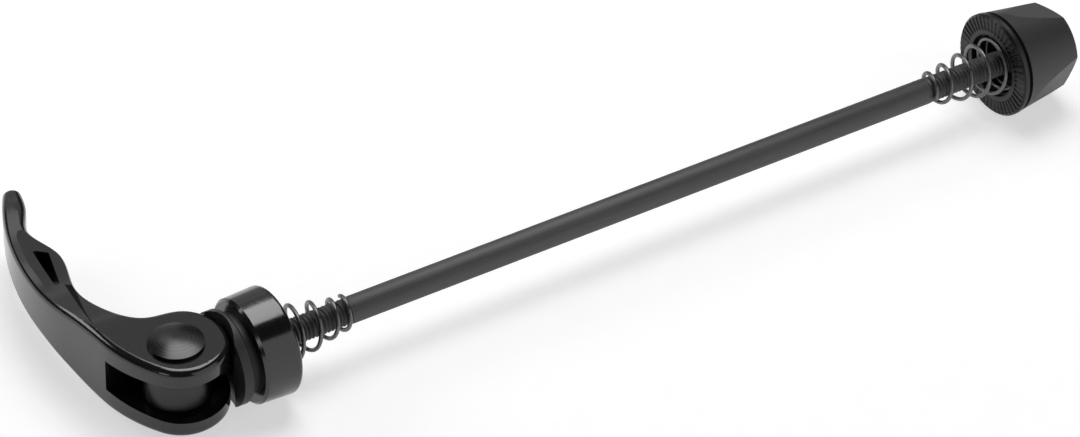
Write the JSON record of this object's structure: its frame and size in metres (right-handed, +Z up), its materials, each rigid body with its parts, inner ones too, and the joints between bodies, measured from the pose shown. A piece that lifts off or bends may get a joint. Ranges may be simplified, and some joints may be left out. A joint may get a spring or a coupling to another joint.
{
  "type": "quick release skewer",
  "caption": "Bicycle wheel quick release skewer: cam lever on a forked pivot, clamping cup, sprung threaded rod and toothed cone nut.",
  "frame": {"origin": "centre of the cup's clamping face, on the rod's axis", "axes": "+X along the rod from the lever to the nut; +Y along the closed lever's arm; +Z up along the lever's pivot"},
  "size_m": [0.2052, 0.0679, 0.0204],
  "materials": {
    "lever_alloy": "black anodised, semi gloss",
    "cup_alloy": "black anodised, glossy",
    "nut_alloy": "black anodised, matte",
    "rod_steel": "black oxide, satin",
    "dark_steel": "black plated, satin",
    "spring_steel": "blackened wire, satin",
    "ring_steel": "black plated, worn on the edges",
    "saddle_plastic": "matte black",
    "nylon": "natural nylon"
  },
  "bodies": {
    "rod": {"skewer_rod": "rod_steel", "rod_eye": "dark_steel"},
    "lever": {"lever": "lever_alloy", "pivot_rivet": "dark_steel"},
    "cup": {"end_cup": "cup_alloy", "saddle_washer": "saddle_plastic", "lever_spring": "spring_steel"},
    "nut_carrier": {"nut_spring": "spring_steel"},
    "nut": {"nut_body": "nut_alloy", "nut_face_ring": "ring_steel", "nut_insert": "dark_steel", "nut_lock_ring": "nylon"}
  },
  "joints": [
    {"name": "lever_swing", "type": "hinge", "parent": "rod", "child": "lever", "pos_m": [-0.0197, 0, 0], "axis": [0, 0, 1], "range_deg": [0, 140]},
    {"name": "cup_slide", "type": "slide", "parent": "rod", "child": "cup", "axis": [1, 0, 0], "range_m": [-0.00175, 0]},
    {"name": "nut_travel", "type": "slide", "parent": "rod", "child": "nut_carrier", "axis": [1, 0, 0], "range_m": [-0.0048, 0.0024]},
    {"name": "nut_spin", "type": "hinge", "parent": "nut_carrier", "child": "nut", "pos_m": [0.1579, 0, 0], "axis": [1, 0, 0], "range_deg": [-2160, 1080]}
  ],
  "couplings": [
    {"joint": "cup_slide", "follows": "lever_swing", "m_per_rad": -0.00070028},
    {"joint": "nut_travel", "follows": "nut_spin", "m_per_rad": 0.00012732}
  ]
}
